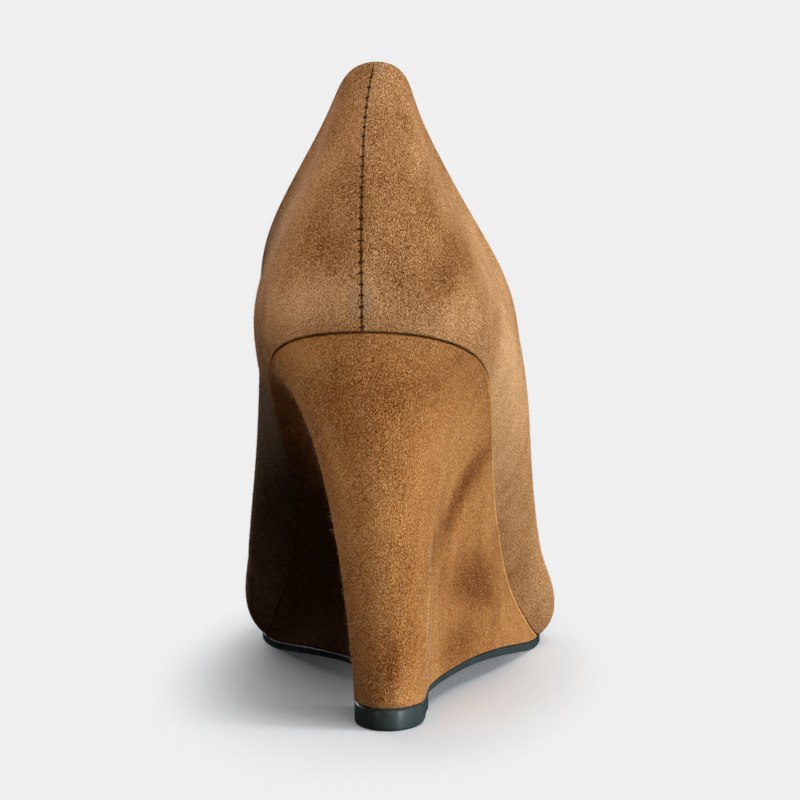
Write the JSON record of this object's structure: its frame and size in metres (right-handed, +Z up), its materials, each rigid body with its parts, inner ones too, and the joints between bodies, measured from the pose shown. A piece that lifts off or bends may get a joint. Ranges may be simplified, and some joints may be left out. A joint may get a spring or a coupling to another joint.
{
  "type": "wedge pump shoe",
  "caption": "Right-foot closed wedge pump: low-cut suede upper with a high back, insole, covered wedge heel from seat to ball, thin rubber outsole and top lift.",
  "frame": {"origin": "The middle of the top lift's flat tread, under the heel, on the floor.", "axes": "+Y runs along the shoe to the toe, +X to the outer (lateral) side, +Z up from the floor."},
  "size_m": [0.0835, 0.2308, 0.1505],
  "materials": {
    "suede": "matte napped suede",
    "sock_leather": "smooth matte",
    "rubber": "satin"
  },
  "bodies": {
    "root": {"upper": "suede", "wedge": "suede", "insole": "sock_leather", "outsole": "rubber", "top_lift": "rubber"}
  },
  "joints": []
}
